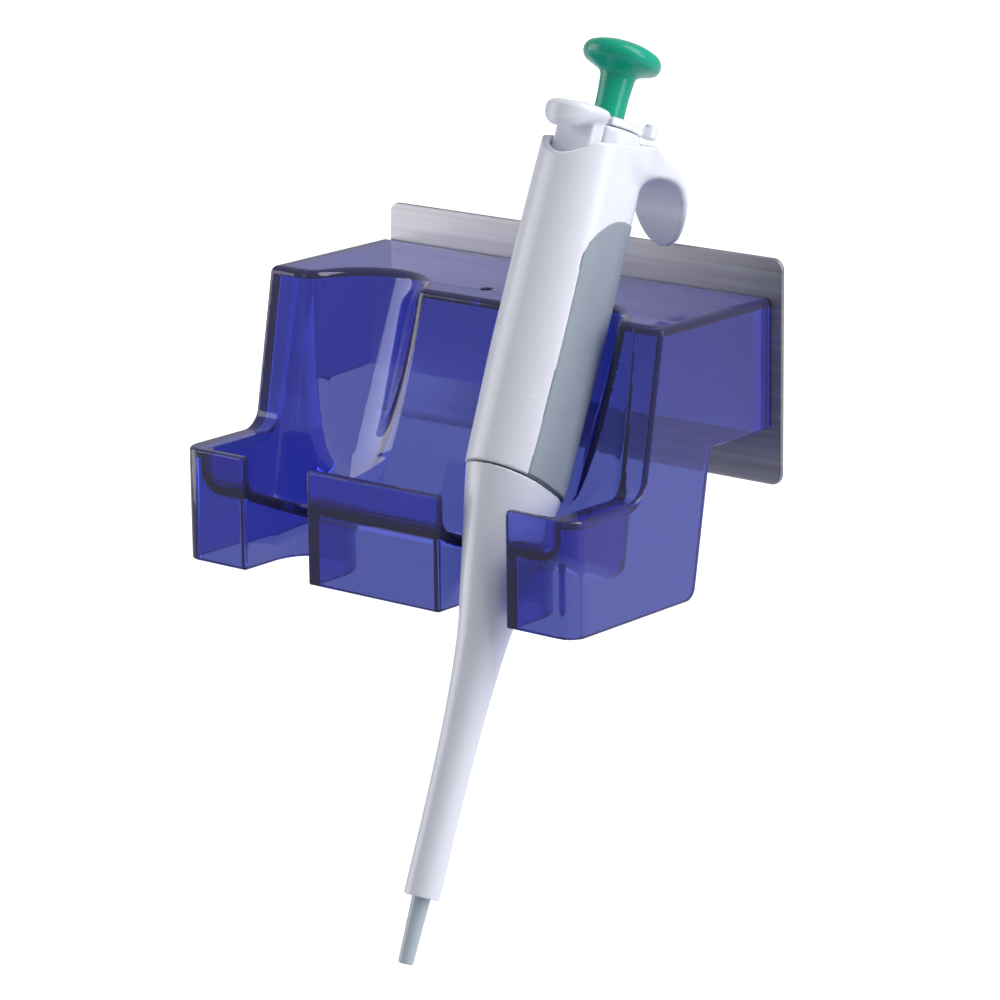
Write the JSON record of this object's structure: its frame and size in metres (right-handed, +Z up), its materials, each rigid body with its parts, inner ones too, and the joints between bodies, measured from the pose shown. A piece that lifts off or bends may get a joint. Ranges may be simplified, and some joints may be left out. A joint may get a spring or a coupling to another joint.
{
  "type": "pipette set",
  "caption": "Hand pipette with push button, volume setting and tip ejector, leaning in a clear wall holder that magnets keep on a steel plate.",
  "frame": {"origin": "on the wall plane at the back of the tape, in the holder's middle plane, level with the middle of the steel plate", "axes": "+Z up, +Y into the wall so the front faces -Y, +X to the right as seen from the front"},
  "size_m": [0.1333, 0.1122, 0.2221],
  "materials": {
    "clear_blue": "clear tinted gloss",
    "brushed_steel": "brushed",
    "bright_steel": "bright",
    "magnet_coat": "plated",
    "foam_tape": "foam",
    "white_plastic": "gloss",
    "grey_grip": "matte",
    "green_plastic": "gloss",
    "pale_plastic": "satin",
    "clear_lens": "clear",
    "black_rubber": "matte",
    "seal_plastic": "waxy",
    "grey_plastic": "matte"
  },
  "bodies": {
    "wall": {"wall_tape": "foam_tape", "steel_plate": "brushed_steel"},
    "holder": {"holder_shell": "clear_blue", "magnet_bar": "white_plastic", "magnets": "magnet_coat"},
    "pipette": {"handle_body": "white_plastic", "grip_insert": "grey_grip", "top_cap": "white_plastic", "volume_window": "clear_lens", "stop_nut": "grey_plastic", "nozzle": "pale_plastic", "barrel_nut": "grey_plastic", "piston_seal": "seal_plastic", "seal_ring": "black_rubber", "seal_bush": "grey_plastic", "spring_seat": "bright_steel", "stop_washer": "bright_steel", "return_spring": "bright_steel", "blowout_spring": "bright_steel", "ejector_spring": "bright_steel"},
    "lock": {"lock_lever": "white_plastic"},
    "spindle": {"volume_spindle": "bright_steel", "counter_units": "white_plastic"},
    "tens": {"counter_tens": "white_plastic"},
    "plunger": {"push_button": "green_plastic", "plunger_rod": "bright_steel", "piston": "bright_steel"},
    "ejector": {"ejector_button": "white_plastic", "ejector_rod": "bright_steel", "ejector_sleeve": "white_plastic"}
  },
  "joints": [
    {"name": "holder_pull", "type": "slide", "parent": "wall", "child": "holder", "axis": [0, -1, 0], "range_m": [0, 0.06]},
    {"name": "pipette_lift", "type": "slide", "parent": "holder", "child": "pipette", "axis": [0, 0, 1], "range_m": [0, 0.16]},
    {"name": "lock_turn", "type": "hinge", "parent": "pipette", "child": "lock", "pos_m": [0.03265, -0.03792, 0.04051], "axis": [0, 0.3817, 0.9243], "range_deg": [0, 36]},
    {"name": "volume_turn", "type": "hinge", "parent": "pipette", "child": "spindle", "pos_m": [0.03265, -0.03792, 0.04051], "axis": [0, 0.3817, 0.9243], "range_deg": [-1620, 1620]},
    {"name": "tens_turn", "type": "hinge", "parent": "pipette", "child": "tens", "pos_m": [0.03265, -0.03792, 0.04051], "axis": [0, 0.3817, 0.9243], "range_deg": [-162, 162]},
    {"name": "plunger_press", "type": "slide", "parent": "spindle", "child": "plunger", "axis": [0, -0.3817, -0.9243], "range_m": [0, 0.009], "stiffness_N_per_m": 800, "springref_m": -0.004, "deforming": ["return_spring"]},
    {"name": "ejector_press", "type": "slide", "parent": "pipette", "child": "ejector", "axis": [0, -0.3817, -0.9243], "range_m": [0, 0.006], "stiffness_N_per_m": 700, "springref_m": -0.003, "deforming": ["ejector_spring"]}
  ],
  "couplings": [
    {"joint": "tens_turn", "follows": "volume_turn", "ratio": 0.1}
  ]
}
